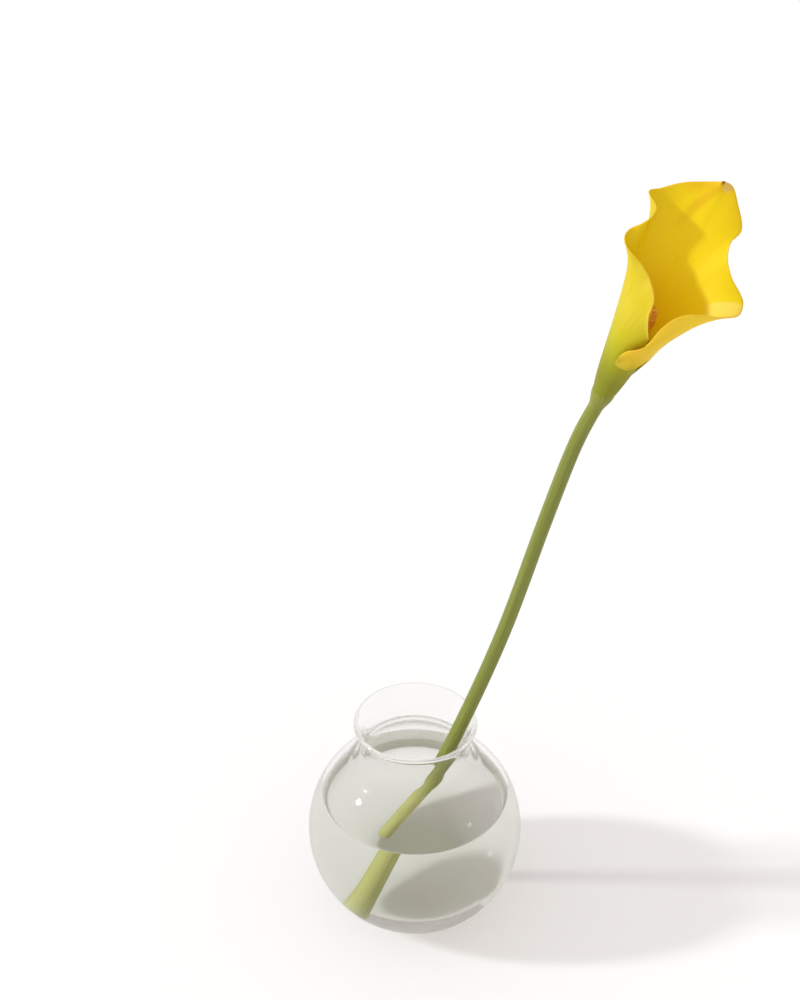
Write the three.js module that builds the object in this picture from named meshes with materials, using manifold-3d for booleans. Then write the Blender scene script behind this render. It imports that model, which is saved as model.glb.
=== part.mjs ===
// A calla lily flower standing in a clear glass ball vase with water.
// Units are millimetres, +Z is up, and the origin is the centre of the vase's flat foot.
//
// Pieces: vase, water, stem, spathe (the rolled flower bract) and spadix (the spike in it).

import * as THREE from 'three';
import { mergeVertices } from 'three/addons/utils/BufferGeometryUtils.js';
import Module from 'manifold-3d';

const wasm = await Module();
wasm.setup();

// ---- driving dimensions ------------------------------------------------------------------

const GAP = 0.3;                 // clearance between pieces that touch

const BOWL_RADIUS = 70;          // outside of the round bowl
const FOOT_RADIUS = 34;          // flat that the vase stands on
const GLASS = 3.2;               // wall thickness
const FLOOR_THICKNESS = 5;       // glass under the water
const SHOULDER_RADIUS = 42;      // where the ball turns into the neck
const NECK_RADIUS = 34.5;        // outside, at its narrowest
const NECK_HEIGHT = 131;
const LIP_RADIUS = 39;           // outside of the flared lip
const VASE_HEIGHT = 150;
const VASE_SIDES = 40;

const WATER_LEVEL = 91.5;
const MENISCUS_RISE = 1.4;       // water climbs the glass by this much
const MENISCUS_WIDTH = 4;
const HOLE_WIDENING = 0.5;       // clearance round the stem in the water
const HOLE_REACH = 15;           // how far that hole is cut on below the stem's foot

const STEM_RADIUS = 4.7;
const STEM_TOP_RADIUS = 4.3;     // just below the flower
const RECEPTACLE_RADIUS = 7.9;   // flared end that carries the spathe
const RECEPTACLE_LENGTH = 11;
const STEM_SIDES = 14;
const STEM_STEPS = 44;
const WET_STEPS = 16;            // steps from the foot to well above the water

// The stem stands on the vase's floor on the left, leans on the lip on the right
// and curves up to the flower.
const STEM_ROUTE = [
  [-20, 14, 7],
  [5.8, 8.1, 80],
  [30.5, 2.4, 150],
  [54, 4, 220],
  [76, 7, 300],
  [91, 7.5, 352],
  [104, 2, 388],
];

// The flower sits on the stem's end: it leans over and its open side turns to the front.
const FLOWER_BASE = [104, 2, 388];
const FLOWER_LEAN = 23;          // degrees from upright
const FLOWER_HEADING = -30;      // degrees from +X, the way it leans
const FLOWER_FRONT = [-0.389, -0.92, -0.052];

// The spathe is one sheet rolled round the spadix. Angles go round the flower's axis,
// from its front, counter-clockwise seen from above the mouth, past 360 where the
// sheet laps under itself.
const SHEET_INNER_RADIUS = 5.3;  // middle of the sheet at the innermost lap
const SHEET_SPIRAL = 1.7;        // growth of that radius over one turn
const SHEET_LAST_ANGLE = 508;
const TUBE_FLARE = 0.15;         // radius gained per height in the tube
const TUBE_SHARE = 0.36;         // share of a vein that runs straight along the tube
const TUBE_MAX = 34;
const TUBE_BOW = 4;              // how far the tube swells out on its left
const EDGE_BOW = 1.7;            // the same at the outer lap's free lower edge
const EDGE_BOW_HEIGHT = 25;
const LOBE_FLARE = 2.4;          // how far the outer lap's lower edge curls out
const LOBE_ANGLE = 18;           // where round the tube it curls most, and how far round
const LOBE_SPREAD = 32;
const WAVES = [                  // the margin's waves die away from it, short ones first:
  { reach: 1.2, fade: 16 },      // stations they are averaged over, and how fast they fade
  { reach: 3.5, fade: 7 },
];
const SHEET_THICKNESS = 1.2;     // at the base
const EDGE_THICKNESS = 0.8;      // at the margin
const COLUMNS_PER_STATION = 2;
const SHEET_ROWS = 12;

// Stations along the waved margin, from the outer lap's end round the tip to the inner
// lap's end: angle at the base, angle at the margin, margin radius and height,
// radius and height of the vein's last bend, height of the sheet's lower edge.
const MARGIN = [
  [-6, -9, 14.4, 31.5, 13.9, 29.8, 28.5],
  [-2, -9, 15, 34.8, 14.3, 31.5, 27.5],
  [6, -1, 15.6, 40, 14.9, 35.5, 27.5],
  [15, 16, 16.2, 44.6, 15.4, 38.5, 27.8],
  [22, 28, 16.4, 49, 15.7, 41.5, 28.3],
  [30, 29, 16.5, 54.5, 16, 44.5, 29.5],
  [38, 33, 16.6, 61.5, 16.8, 50, 31],
  [47, 46, 17.2, 69.5, 19, 55.5, 33],
  [57, 63, 19.8, 74.2, 22, 60, 35],
  [68, 79, 25.8, 76.6, 23.4, 63, 36],
  [80, 90, 34.2, 78, 25, 63.5, 34.5],
  [91, 99, 40.7, 79.8, 23, 67, 31],
  [101, 108, 41.1, 83.3, 19, 73, 26],
  [110, 115, 38.9, 85.3, 17, 77, 20.5],
  [120, 126, 32.8, 90.1, 18, 78, 14.5],
  [130, 139.5, 30.3, 96.3, 19, 81, 9],
  [140, 149.6, 33.9, 101.5, 18.5, 86, 4.5],
  [151, 152.6, 40.5, 107.7, 17.5, 91, 1.3],
  [164, 166, 42.1, 116.7, 18, 94, 0],
  [176, 176, 43, 123.2, 19, 95, 0],
  [184, 184, 41, 123.5, 20.5, 95, 0],
  [195, 195, 42.5, 118.6, 19.5, 92, 0],
  [207, 208, 43.3, 113.7, 21, 88, 0],
  [219, 222, 43, 108, 26, 82, 0],
  [229, 232.5, 42.2, 105.8, 35, 77, 0],
  [237, 234, 32.1, 104, 36, 73, 0],
  [243, 236, 30.6, 98.6, 31, 70, 0],
  [249, 242.5, 31.6, 93.6, 22, 68, 0],
  [255, 250, 33.6, 89.9, 13, 67, 0],
  [262, 262, 32.4, 87.7, 12, 66, 0],
  [270, 269.5, 27.8, 85.2, 11.6, 64, 0],
  [281, 277, 17.6, 82.5, 11.6, 62, 0],
  [296, 300, 12, 80.2, 12.6, 58, 0],
  [314, 334, 12, 77.8, 16.5, 57, 0],
  [334, 353, 13.8, 73.5, 15.8, 54, 0],
  [352, 360, 15.2, 64.5, 14.2, 48, 0],
  [374, 382, 14, 53, 12.4, 38, 0],
  [396, 398, 12.2, 48.5, 10.6, 34, 0],
  [422, 423, 11, 45.5, 9, 31, 0],
  [450, 451, 10, 40, 7.8, 27, 0],
  [480, 480, 8.2, 29, 6.7, 18, 0],
  [508, 508, 6.4, 14, 5.7, 8, 0],
];

const SPADIX_LENGTH = 62;
const SPADIX_FOOT_RADIUS = 3.4;
const SPADIX_RADIUS = 4.4;
const SPADIX_SWELL = 8;          // height over which the foot widens
const SPADIX_TIP = 12;           // height of the rounded end
const FLORET_RELIEF = 0.35;      // how far the florets stand out
const FLORETS_AROUND = 6;
const FLORET_ROWS = 22;
const SPADIX_SIDES = 20;
const SPADIX_STEPS = 44;

// ---- materials ---------------------------------------------------------------------------

const materials = {
  glass: new THREE.MeshStandardMaterial({ color: 0xe6ecea, roughness: 0.03, metalness: 0,
    transparent: true, opacity: 0.3 }),
  water: new THREE.MeshStandardMaterial({ color: 0xdfe9e4, roughness: 0.05, metalness: 0,
    transparent: true, opacity: 0.4 }),
  stem: new THREE.MeshStandardMaterial({ color: 0x8f9a3c, roughness: 0.5, metalness: 0 }),
  spathe: new THREE.MeshStandardMaterial({ color: 0xf2cc18, roughness: 0.45, metalness: 0,
    side: THREE.DoubleSide }),
  spadix: new THREE.MeshStandardMaterial({ color: 0xd9861c, roughness: 0.85, metalness: 0 }),
};

// ---- shared helpers ----------------------------------------------------------------------

const radians = THREE.MathUtils.degToRad;

function geometryFrom(vertices, triangles) {
  const geometry = new THREE.BufferGeometry();
  const flat = vertices.flatMap((v) => [v.x, v.y, v.z]);
  geometry.setAttribute('position', new THREE.Float32BufferAttribute(flat, 3));
  geometry.setIndex(triangles.flat());
  return geometry;
}

// Merged copy of a geometry with only positions and no collapsed triangles.
function mergedGeometry(geometry) {
  const bare = geometry.clone();
  bare.deleteAttribute('normal');
  bare.deleteAttribute('uv');
  const merged = mergeVertices(bare, 1e-4);
  const kept = [];
  const index = merged.index.array;
  for (let i = 0; i < index.length; i += 3) {
    const [a, b, c] = [index[i], index[i + 1], index[i + 2]];
    if (a !== b && b !== c && c !== a) kept.push(a, b, c);
  }
  merged.setIndex(kept);
  return merged;
}

function toSolid(geometry) {
  return new wasm.Manifold(new wasm.Mesh({
    numProp: 3,
    vertProperties: new Float32Array(geometry.attributes.position.array),
    triVerts: new Uint32Array(geometry.index.array),
  }));
}

function fromSolid(solid) {
  const mesh = solid.getMesh();
  const geometry = new THREE.BufferGeometry();
  geometry.setAttribute('position', new THREE.Float32BufferAttribute(mesh.vertProperties, 3));
  geometry.setIndex(Array.from(mesh.triVerts));
  return geometry;
}

// Turns a profile of [radius, height] points round the upright axis.
function revolve(profile, sides) {
  const points = profile.map(([radius, height]) => new THREE.Vector2(radius, height));
  const geometry = new THREE.LatheGeometry(points, sides);
  geometry.rotateX(Math.PI / 2);
  return mergedGeometry(geometry);
}

function bezierPoints(from, bendA, bendB, to, steps) {
  const curve = new THREE.CubicBezierCurve(...[from, bendA, bendB, to].map((p) => new THREE.Vector2(...p)));
  return curve.getPoints(steps).map((p) => [p.x, p.y]);
}

// Height of the bowl's centre over its foot.
const BOWL_CENTRE = Math.sqrt(BOWL_RADIUS ** 2 - FOOT_RADIUS ** 2);

// Round stretch of a bowl of the given radius, between two heights.
function bowlArc(radius, fromHeight, toHeight, steps) {
  const start = Math.acos((BOWL_CENTRE - fromHeight) / radius);
  const end = Math.acos((BOWL_CENTRE - toHeight) / radius);
  return Array.from({ length: steps + 1 }, (_, i) => {
    const angle = start + (end - start) * i / steps;
    return [radius * Math.sin(angle), BOWL_CENTRE - radius * Math.cos(angle)];
  });
}

function bowlHeight(radius, at) {
  return BOWL_CENTRE + Math.sqrt(radius ** 2 - at ** 2);
}

// ---- vase --------------------------------------------------------------------------------

// Wall of the shoulder, neck and lip, from the bowl up, drawn in from the outside by inset.
function neckWall(inset, lipDrop) {
  const shoulder = SHOULDER_RADIUS - inset;
  const shoulderHeight = bowlHeight(BOWL_RADIUS - inset, shoulder);
  const slope = shoulder / (shoulderHeight - BOWL_CENTRE);
  const bend = 6;
  const neck = NECK_RADIUS - inset;
  const top = VASE_HEIGHT - lipDrop;
  return [
    ...bezierPoints([shoulder, shoulderHeight], [shoulder - bend, shoulderHeight + bend / slope],
      [neck, NECK_HEIGHT - 7], [neck, NECK_HEIGHT], 5).slice(1),
    ...bezierPoints([neck, NECK_HEIGHT], [neck, NECK_HEIGHT + 8],
      [LIP_RADIUS - inset - 2, top - 5], [LIP_RADIUS - inset, top], 5).slice(1),
  ];
}

function vaseGeometry() {
  const innerRadius = BOWL_RADIUS - GLASS;
  const outerShoulder = bowlHeight(BOWL_RADIUS, SHOULDER_RADIUS);
  const innerShoulder = bowlHeight(innerRadius, SHOULDER_RADIUS - GLASS);
  const lipRound = 1.2;
  const outside = [
    [0, 0],
    [FOOT_RADIUS - 1.5, 0],
    ...bowlArc(BOWL_RADIUS, 1, outerShoulder, 14),
    ...neckWall(0, lipRound),
  ];
  const lip = [
    [LIP_RADIUS - 0.5, VASE_HEIGHT - 0.3],
    [LIP_RADIUS - GLASS / 2, VASE_HEIGHT],
    [LIP_RADIUS - GLASS + 0.5, VASE_HEIGHT - 0.3],
  ];
  const inside = [
    ...bowlArc(innerRadius, FLOOR_THICKNESS + 2, innerShoulder, 12),
    ...neckWall(GLASS, lipRound),
  ].reverse();
  const floorEdge = inside[inside.length - 1][0] - 4;
  const floor = [[floorEdge, FLOOR_THICKNESS], [0, FLOOR_THICKNESS]];
  return revolve([...outside, ...lip, ...inside, ...floor], VASE_SIDES);
}

// ---- stem --------------------------------------------------------------------------------

function flowerAxes() {
  const lean = radians(FLOWER_LEAN);
  const heading = radians(FLOWER_HEADING);
  const up = new THREE.Vector3(Math.sin(lean) * Math.cos(heading),
    Math.sin(lean) * Math.sin(heading), Math.cos(lean));
  const front = new THREE.Vector3(...FLOWER_FRONT);
  front.addScaledVector(up, -front.dot(up)).normalize();
  const side = new THREE.Vector3().crossVectors(up, front);
  return { side, front, up };
}

// The stem's middle line, and its radius, at each step from foot to receptacle.
function stemStations() {
  const { up } = flowerAxes();
  const route = STEM_ROUTE.map((p) => new THREE.Vector3(...p));
  const curve = new THREE.CatmullRomCurve3(route, false, 'catmullrom', 0.5);
  const length = curve.getLength();
  const stations = [];
  for (let i = 0; i <= STEM_STEPS; i++) {
    const share = (i / STEM_STEPS) ** 0.9;
    const left = length * (1 - share);
    const flare = Math.max(0, 1 - left / RECEPTACLE_LENGTH);
    const shaft = STEM_RADIUS + (STEM_TOP_RADIUS - STEM_RADIUS) * share;
    stations.push({
      centre: curve.getPointAt(share),
      along: curve.getTangentAt(share),
      radius: shaft + (RECEPTACLE_RADIUS - shaft) * flare * flare * (3 - 2 * flare),
    });
  }
  const end = stations[STEM_STEPS];
  end.along = up;
  end.centre.addScaledVector(up, -(GAP + 0.1));
  return stations;
}

// Round bar along a list of stations, with flat ends.
function barGeometry(stations, sides, extra = 0) {
  const across = new THREE.Vector3(0, 1, 0);
  const vertices = [];
  const triangles = [];
  for (const { centre, along, radius } of stations) {
    const u = across.clone().addScaledVector(along, -across.dot(along)).normalize();
    const v = new THREE.Vector3().crossVectors(along, u);
    for (let k = 0; k < sides; k++) {
      const angle = 2 * Math.PI * k / sides;
      vertices.push(centre.clone().addScaledVector(u, (radius + extra) * Math.cos(angle))
        .addScaledVector(v, (radius + extra) * Math.sin(angle)));
    }
  }
  const last = (stations.length - 1) * sides;
  for (let i = 0; i < stations.length - 1; i++) {
    for (let k = 0; k < sides; k++) {
      const [a, b] = [i * sides + k, i * sides + (k + 1) % sides];
      triangles.push([a, b, b + sides], [a, b + sides, a + sides]);
    }
  }
  const foot = vertices.push(stations[0].centre.clone()) - 1;
  const head = vertices.push(stations[stations.length - 1].centre.clone()) - 1;
  for (let k = 0; k < sides; k++) {
    const next = (k + 1) % sides;
    triangles.push([foot, next, k], [head, last + k, last + next]);
  }
  return geometryFrom(vertices, triangles);
}

function stemGeometry() {
  return barGeometry(stemStations(), STEM_SIDES);
}

// ---- water -------------------------------------------------------------------------------

// The water fills the bowl and has a hole where the stem stands in it.
function waterGeometry() {
  const radius = BOWL_RADIUS - GLASS - GAP;
  const bottom = FLOOR_THICKNESS + GAP;
  const top = WATER_LEVEL + MENISCUS_RISE;
  const wall = bowlArc(radius, FLOOR_THICKNESS + 2.5, top, 10);
  const rim = wall[wall.length - 1][0];
  const body = revolve([
    [0, bottom],
    [wall[0][0] - 4, bottom],
    ...wall,
    [rim - MENISCUS_WIDTH * 0.4, WATER_LEVEL + MENISCUS_RISE * 0.3],
    [rim - MENISCUS_WIDTH, WATER_LEVEL],
    [0, WATER_LEVEL],
  ], VASE_SIDES);
  const stations = stemStations();
  const foot = stations[0];
  const below = { ...foot, centre: foot.centre.clone().addScaledVector(foot.along, -HOLE_REACH) };
  const hole = barGeometry([below, ...stations.slice(0, WET_STEPS)], STEM_SIDES, HOLE_WIDENING);
  return fromSolid(toSolid(body).subtract(toSolid(hole)));
}

// ---- spathe ------------------------------------------------------------------------------

// Smooth value between the stations of a table, at a position counted in stations.
function betweenStations(table, position) {
  const i = Math.min(Math.floor(position), table.length - 2);
  const f = position - i;
  const [a, b, c, d] = [table[Math.max(i - 1, 0)], table[i], table[i + 1],
    table[Math.min(i + 2, table.length - 1)]];
  return b.map((_, k) => 0.5 * (2 * b[k] + (c[k] - a[k]) * f
    + (2 * a[k] - 5 * b[k] + 4 * c[k] - d[k]) * f * f
    + (3 * b[k] - a[k] - 3 * c[k] + d[k]) * f * f * f));
}

// Point in the flower's own frame: x to its side, y to its back, z along its axis.
function aroundFlower(angle, radius, height) {
  return new THREE.Vector3(radius * Math.sin(angle), -radius * Math.cos(angle), height);
}

// Values at a position, averaged over the stations within reach.
function calmValues(position, reach) {
  const held = Math.min(reach, position, MARGIN.length - 1 - position);
  const near = [[-1, 0.15], [-0.5, 0.2], [0, 0.3], [0.5, 0.2], [1, 0.15]];
  const rows = near.map(([step, share]) => betweenStations(MARGIN, position + step * held)
    .map((value) => value * share));
  return rows.reduce((sum, row) => sum.map((value, k) => value + row[k]));
}

// Point on the middle of the sheet in the tube, which swells out to the left.
function tubePoint(base, height, curl, bow) {
  const foot = SHEET_INNER_RADIUS + SHEET_SPIRAL * (SHEET_LAST_ANGLE - base) / 360;
  const point = aroundFlower(radians(base), foot + TUBE_FLARE * height + curl, height);
  point.x -= bow * (1 - Math.sin(radians(base))) / 2;
  return point;
}

// How far the outer lap's free lower edge curls out.
function lobeCurl(base) {
  return LOBE_FLARE * Math.exp(-(((base - LOBE_ANGLE) / LOBE_SPREAD) ** 2));
}

// Points up one vein of the sheet, from the tube's base out to the margin.
function veinPoints(position) {
  const [base, , , , , , low] = betweenStations(MARGIN, position);
  const levels = [0, ...WAVES.map(({ reach }) => reach)].map((reach) => calmValues(position, reach));
  const margins = levels.map(([, rim, radius, height]) => aroundFlower(radians(rim), radius, height));
  const [calmBase, calmRim, , calmHeight, bendRadius, bendHeight] = levels[WAVES.length];
  const start = Math.max(low, 0);
  const rise = start + Math.min(TUBE_SHARE * (calmHeight - start), TUBE_MAX);
  const curve = new THREE.CubicBezierCurve3(
    tubePoint(base, start, lobeCurl(base), EDGE_BOW * Math.min(1, start / EDGE_BOW_HEIGHT)),
    tubePoint(base, rise, 0, TUBE_BOW),
    aroundFlower(radians((calmBase + calmRim) / 2), bendRadius, bendHeight),
    margins[WAVES.length],
  );
  const points = curve.getPoints(SHEET_ROWS);
  WAVES.forEach(({ fade }, level) => {
    const wave = margins[level].clone().sub(margins[level + 1]);
    points.forEach((point, j) => point.addScaledVector(wave, (j / SHEET_ROWS) ** fade));
  });
  return points;
}

// Grid of points on the middle of the sheet, one row of points per vein.
function sheetGrid() {
  const columns = (MARGIN.length - 1) * COLUMNS_PER_STATION;
  return Array.from({ length: columns + 1 }, (_, i) => veinPoints(i / COLUMNS_PER_STATION));
}

function sheetNormal(grid, i, j) {
  const [columns, rows] = [grid.length - 1, grid[0].length - 1];
  const across = grid[Math.min(i + 1, columns)][j].clone().sub(grid[Math.max(i - 1, 0)][j]);
  const along = grid[i][Math.min(j + 1, rows)].clone().sub(grid[i][Math.max(j - 1, 0)]);
  return across.cross(along).normalize();
}

// Gives the sheet its thickness: two faces split into triangles alike, and the edges between.
function spatheGeometry() {
  const grid = sheetGrid();
  const [columns, rows] = [grid.length - 1, grid[0].length - 1];
  const { side, front, up } = flowerAxes();
  const frame = new THREE.Matrix4().makeBasis(side, front.clone().negate(), up)
    .setPosition(...FLOWER_BASE);
  const vertices = [];
  for (const sign of [1, -1]) {
    for (let i = 0; i <= columns; i++) {
      for (let j = 0; j <= rows; j++) {
        const half = (SHEET_THICKNESS + (EDGE_THICKNESS - SHEET_THICKNESS) * j / rows) / 2;
        const point = grid[i][j].clone().addScaledVector(sheetNormal(grid, i, j), sign * half);
        vertices.push(point.applyMatrix4(frame));
      }
    }
  }
  const face = (columns + 1) * (rows + 1);
  const at = (i, j) => i * (rows + 1) + j;
  const triangles = [];
  const quad = (a, b, c, d) => triangles.push([a, b, c], [a, c, d]);
  for (let i = 0; i < columns; i++) {
    for (let j = 0; j < rows; j++) {
      const [a, b, c, d] = [at(i, j), at(i + 1, j), at(i + 1, j + 1), at(i, j + 1)];
      quad(a, b, c, d);
      triangles.push([face + a, face + c, face + b], [face + a, face + d, face + c]);
    }
    quad(at(i, 0), face + at(i, 0), face + at(i + 1, 0), at(i + 1, 0));
    quad(at(i, rows), at(i + 1, rows), face + at(i + 1, rows), face + at(i, rows));
  }
  for (let j = 0; j < rows; j++) {
    quad(at(0, j), at(0, j + 1), face + at(0, j + 1), face + at(0, j));
    quad(at(columns, j), face + at(columns, j), face + at(columns, j + 1), at(columns, j + 1));
  }
  return geometryFrom(vertices, triangles);
}

// ---- spadix ------------------------------------------------------------------------------

// Radius of the spike at a height, without its florets.
function spadixRadius(height) {
  const swell = Math.min(height / SPADIX_SWELL, 1);
  const body = SPADIX_FOOT_RADIUS + (SPADIX_RADIUS - SPADIX_FOOT_RADIUS) * swell * (2 - swell);
  const past = Math.max(0, height - (SPADIX_LENGTH - SPADIX_TIP)) / SPADIX_TIP;
  return body * Math.sqrt(Math.max(0, 1 - past ** 2.4));
}

function spadixGeometry() {
  const { side, front, up } = flowerAxes();
  const frame = new THREE.Matrix4().makeBasis(side, front.clone().negate(), up)
    .setPosition(...FLOWER_BASE);
  const vertices = [];
  const triangles = [];
  for (let i = 0; i < SPADIX_STEPS; i++) {
    const height = SPADIX_LENGTH * Math.sin(Math.PI / 2 * i / SPADIX_STEPS) ** 0.92;
    const relief = FLORET_RELIEF * Math.min(1, spadixRadius(height) / SPADIX_RADIUS);
    for (let k = 0; k < SPADIX_SIDES; k++) {
      const angle = 2 * Math.PI * k / SPADIX_SIDES;
      const turn = FLORETS_AROUND * angle;
      const climb = Math.PI * FLORET_ROWS * height / SPADIX_LENGTH;
      const bump = relief * Math.cos((turn + climb) / 2) ** 2 * Math.cos((turn - climb) / 2) ** 2;
      vertices.push(aroundFlower(angle, spadixRadius(height) + (i ? bump : 0), height).applyMatrix4(frame));
    }
  }
  for (let i = 0; i < SPADIX_STEPS - 1; i++) {
    for (let k = 0; k < SPADIX_SIDES; k++) {
      const next = (k + 1) % SPADIX_SIDES;
      const [a, b] = [i * SPADIX_SIDES + k, i * SPADIX_SIDES + next];
      triangles.push([a, b, b + SPADIX_SIDES], [a, b + SPADIX_SIDES, a + SPADIX_SIDES]);
    }
  }
  const foot = vertices.push(new THREE.Vector3(0, 0, 0).applyMatrix4(frame)) - 1;
  const tip = vertices.push(new THREE.Vector3(0, 0, SPADIX_LENGTH).applyMatrix4(frame)) - 1;
  const last = (SPADIX_STEPS - 1) * SPADIX_SIDES;
  for (let k = 0; k < SPADIX_SIDES; k++) {
    const next = (k + 1) % SPADIX_SIDES;
    triangles.push([foot, next, k], [tip, last + k, last + next]);
  }
  return geometryFrom(vertices, triangles);
}

// ---- assembly ----------------------------------------------------------------------------

function piece(name, geometry, material) {
  const mesh = new THREE.Mesh(geometry, material);
  mesh.name = name;
  return mesh;
}

const group = new THREE.Group();
group.add(
  piece('vase', vaseGeometry(), materials.glass),
  piece('water', waterGeometry(), materials.water),
  piece('stem', stemGeometry(), materials.stem),
  piece('spathe', spatheGeometry(), materials.spathe),
  piece('spadix', spadixGeometry(), materials.spadix),
);

export default group;
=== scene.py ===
"""A yellow calla lily standing in a clear glass ball vase of water.

Lengths are named in millimetres, as the flower was measured, and turned to metres where a mesh
is made.
"""

import math
import random

import bmesh
import bpy
from mathutils import Matrix, Vector, noise


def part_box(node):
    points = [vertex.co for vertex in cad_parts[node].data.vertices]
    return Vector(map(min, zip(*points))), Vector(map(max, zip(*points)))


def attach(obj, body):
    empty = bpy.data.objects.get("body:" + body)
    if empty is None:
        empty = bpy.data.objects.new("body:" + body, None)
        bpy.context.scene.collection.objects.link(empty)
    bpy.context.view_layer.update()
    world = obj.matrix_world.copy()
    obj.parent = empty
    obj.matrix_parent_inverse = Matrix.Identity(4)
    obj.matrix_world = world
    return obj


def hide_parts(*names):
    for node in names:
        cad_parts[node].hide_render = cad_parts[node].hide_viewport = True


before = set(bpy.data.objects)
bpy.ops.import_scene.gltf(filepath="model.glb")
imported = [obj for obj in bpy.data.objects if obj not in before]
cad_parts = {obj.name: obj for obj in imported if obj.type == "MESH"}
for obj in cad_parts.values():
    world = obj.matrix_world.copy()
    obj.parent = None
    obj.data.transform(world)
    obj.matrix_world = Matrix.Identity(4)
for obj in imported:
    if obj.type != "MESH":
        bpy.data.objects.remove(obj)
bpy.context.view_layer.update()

MM = 0.001
UP = Vector((0, 0, 1))

# ---- driving dimensions, in millimetres ----------------------------------------------------

vase_low, vase_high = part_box("vase")
BOWL_RADIUS = round((vase_high.x - vase_low.x) / 2 / MM)
VASE_HEIGHT = round(vase_high.z / MM)
FOOT_RADIUS = 34
FOOT_EDGE = 1               # height of the foot's rounded edge
FOOT_ROUNDING = 1.5         # and its width
GLASS = 3.2                 # wall thickness
FLOOR_THICKNESS = 5         # glass under the water
CORNER_HEIGHT = 2           # rounded corner between the floor and the inner wall
POLE_RADIUS = 2             # small flat disc that closes a round surface at its middle
SHOULDER_RADIUS = 42        # where the ball turns into the neck
NECK_RADIUS = 34.5          # outside, at its narrowest
NECK_HEIGHT = 131
LIP_RADIUS = 39             # outside of the flared lip
SHOULDER_BEND = 6           # how far in the bowl's curve runs on into the neck
VASE_SIDES = 144

WATER_LEVEL = 91.5
WETTING = 0.1               # the water reaches this far into the glass, with no air between
MENISCUS_RISE = 1.4
MENISCUS_WIDTH = 4

STEM_RADIUS = 4.7
STEM_TOP_RADIUS = 4.3
STEM_SIDES = 48
RINGS_PER_LEG = 25
CUT_CHAMFER = 0.25          # worn edge of the cut end
RECEPTACLE_LENGTH = 13      # flared end that carries the flower
COLLAR = 0.5                # it reaches this far up round the spathe's foot
COLLAR_OVERLAP = 0.1        # and stands this far out from it
STEM_ROUTE = [
    (-20, 14, 7),
    (5.8, 8.1, 80),
    (30.5, 2.4, 150),
    (54, 4, 220),
    (76, 7, 300),
    (91, 7.5, 352),
    (104, 2, 388),
]

FLOWER_BASE = Vector((104, 2, 388))
FLOWER_LEAN = math.radians(23)
FLOWER_HEADING = math.radians(-30)
FLOWER_FRONT = Vector((-0.389, -0.92, -0.052))

SHEET_INNER_RADIUS = 5.3    # middle of the spathe at its innermost lap
SHEET_SPIRAL = 1.7          # growth of that radius over one turn
SHEET_LAST_ANGLE = 508
FOOT_SEAM = 151             # where the outer lap leaves the tube's base
FOOT_SEAM_WIDTH = 30
TUBE_FLARE = 0.15           # radius gained per height in the tube
TUBE_SHARE = 0.36           # share of a vein that runs straight along the tube
TUBE_MAX = 34
TUBE_BOW = 4                # how far the tube swells out on its left
EDGE_BOW = 1.7              # the same at the outer lap's free lower edge
EDGE_BOW_HEIGHT = 25
LOBE_FLARE = 2.4            # how far the outer lap's lower edge curls out
LOBE_ANGLE = 18             # where round the tube it curls most, and how far round
LOBE_SPREAD = 32
WAVES = [                   # the margin's waves die away from it, short ones first:
    (1.2, 16),              # stations they are averaged over, and how fast they fade
    (3.5, 7),
]
AVERAGE = [                 # shares of that reach, and their weights
    (-1, 0.15),
    (-0.5, 0.2),
    (0, 0.3),
    (0.5, 0.2),
    (1, 0.15),
]
SHEET_THICKNESS = 1.2       # at the base
EDGE_THICKNESS = 0.7        # at the margin
EDGE_ROUNDING = 0.2
EDGE_MATERIAL = 2           # the outside is 0 and the inside 1
VEINS_PER_STATION = 8
SHEET_ROWS = 92
SWELL_HEIGHT = 0.35         # soft unevenness of the spathe
SWELL_LENGTH = 16
RIDGE_HEIGHT = 0.035        # fine veins
THIN_EDGE_HEIGHT = 12       # the lap's free lower edge is thin above this
CUSP_LENGTH = 1.4           # small point at the spathe's tip
CUSP_WIDTH = 0.2            # in stations of the margin
CUSP_START = 0.965
CUSP_CURL = 1.6
TIP_STATION = 19.9
PAPERY_STATION = 19.35      # small dry patch beside the tip
FOLD_SHADE_DRIFT = 7.6            # stations that the painted shade of the tip's soft fold drifts over along a whole vein
ROLLED_HIGHLIGHT_STATION = 12.05      # pale corner of the margin, from here down: painted highlight where a roll would catch the light
ROLLED_HIGHLIGHT_DRIFT = 3.2

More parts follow.
